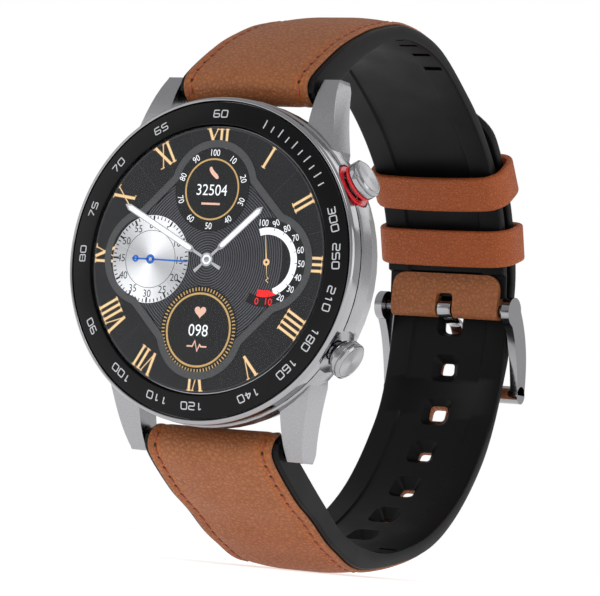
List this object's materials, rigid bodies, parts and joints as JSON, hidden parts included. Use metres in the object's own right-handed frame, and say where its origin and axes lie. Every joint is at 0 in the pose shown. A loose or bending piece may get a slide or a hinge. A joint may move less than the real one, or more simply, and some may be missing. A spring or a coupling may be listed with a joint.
{
  "type": "smartwatch",
  "caption": "Round smartwatch with a steel case, two push buttons, black numbered bezel and a buckled leather-faced rubber-lined strap.",
  "frame": {"origin": "centre of the flat outer face of the rear sensor window", "axes": "+Y out of the back of the case towards the wrist, so the dial faces -Y; +Z towards twelve o'clock; +X towards three o'clock and the buttons"},
  "size_m": [0.0466, 0.0834, 0.0818],
  "materials": {
    "case_steel": "satin",
    "polished_steel": "polished",
    "small_steel": "machined",
    "bezel_black": "gloss",
    "front_glass": "polished",
    "display": "satin",
    "moulded_plastic": "matt",
    "seal_rubber": "matt",
    "strap_rubber": "satin",
    "circuit_board": "satin",
    "battery_cell": "foil",
    "contact_gold": "polished",
    "strap_leather": "pebbled",
    "keeper_leather": "pebbled",
    "red_enamel": "gloss"
  },
  "bodies": {
    "case_and_strap": {"back_cover": "moulded_plastic", "back_gasket": "seal_rubber", "back_screw_1": "small_steel", "back_screw_2": "small_steel", "back_screw_3": "small_steel", "back_screw_4": "small_steel", "battery": "battery_cell", "bezel_ring": "bezel_black", "buckle_spring_bar": "small_steel", "buckle_strap_leather": "strap_leather", "buckle_strap_lining": "strap_rubber", "buckle_tab": "strap_leather", "charging_contact_1": "contact_gold", "charging_contact_2": "contact_gold", "display_panel": "display", "fixed_keeper": "keeper_leather", "front_glass": "front_glass", "inner_frame": "moulded_plastic", "long_strap_leather": "strap_leather", "long_strap_lining": "strap_rubber", "loudspeaker": "moulded_plastic", "lower_button_bush": "small_steel", "lower_button_seal": "seal_rubber", "lower_button_switch": "moulded_plastic", "lower_release_spring": "small_steel", "lower_spring_bar": "small_steel", "main_board": "circuit_board", "mid_case": "case_steel", "sensor_board": "circuit_board", "sensor_window": "front_glass", "upper_button_bush": "small_steel", "upper_button_foot_ring": "red_enamel", "upper_button_seal": "seal_rubber", "upper_button_switch": "moulded_plastic", "upper_case_ring": "polished_steel", "upper_release_spring": "small_steel", "upper_spring_bar": "small_steel", "vibration_motor": "small_steel"},
    "upper_push_button": {"upper_button": "polished_steel", "upper_button_clip": "small_steel", "upper_button_cap_ring": "red_enamel"},
    "lower_push_button": {"lower_button": "polished_steel", "lower_button_clip": "small_steel"},
    "upper_quick_release": {"upper_release_pin": "small_steel"},
    "lower_quick_release": {"lower_release_pin": "small_steel"},
    "sliding_keeper": {"free_keeper": "keeper_leather"},
    "buckle_swing": {"buckle_frame": "polished_steel"},
    "tongue_swing": {"buckle_tongue": "polished_steel"}
  },
  "joints": [
    {"name": "upper_button_press", "type": "slide", "parent": "case_and_strap", "child": "upper_push_button", "axis": [-0.866, 0, -0.5], "range_m": [0, 0.0004], "stiffness_N_per_m": 1500, "springref_m": -0.0002},
    {"name": "lower_button_press", "type": "slide", "parent": "case_and_strap", "child": "lower_push_button", "axis": [-0.866, 0, 0.5], "range_m": [0, 0.0004], "stiffness_N_per_m": 1500, "springref_m": -0.0002},
    {"name": "upper_release_slide", "type": "slide", "parent": "case_and_strap", "child": "upper_quick_release", "axis": [-1, 0, 0], "range_m": [0, 0.0012], "stiffness_N_per_m": 700, "springref_m": -0.0005},
    {"name": "lower_release_slide", "type": "slide", "parent": "case_and_strap", "child": "lower_quick_release", "axis": [-1, 0, 0], "range_m": [0, 0.0012], "stiffness_N_per_m": 700, "springref_m": -0.0005},
    {"name": "keeper_slide", "type": "slide", "parent": "case_and_strap", "child": "sliding_keeper", "axis": [0, -0.6008, 0.7994], "range_m": [-0.0008, 0.0015]},
    {"name": "buckle_frame_swing", "type": "hinge", "parent": "case_and_strap", "child": "buckle_swing", "pos_m": [0, 0.06325, 0.0015], "axis": [1, 0, 0], "range_deg": [0, 10]},
    {"name": "buckle_tongue_swing", "type": "hinge", "parent": "buckle_swing", "child": "tongue_swing", "pos_m": [0, 0.06325, 0.0015], "axis": [1, 0, 0], "range_deg": [0, 6]}
  ]
}
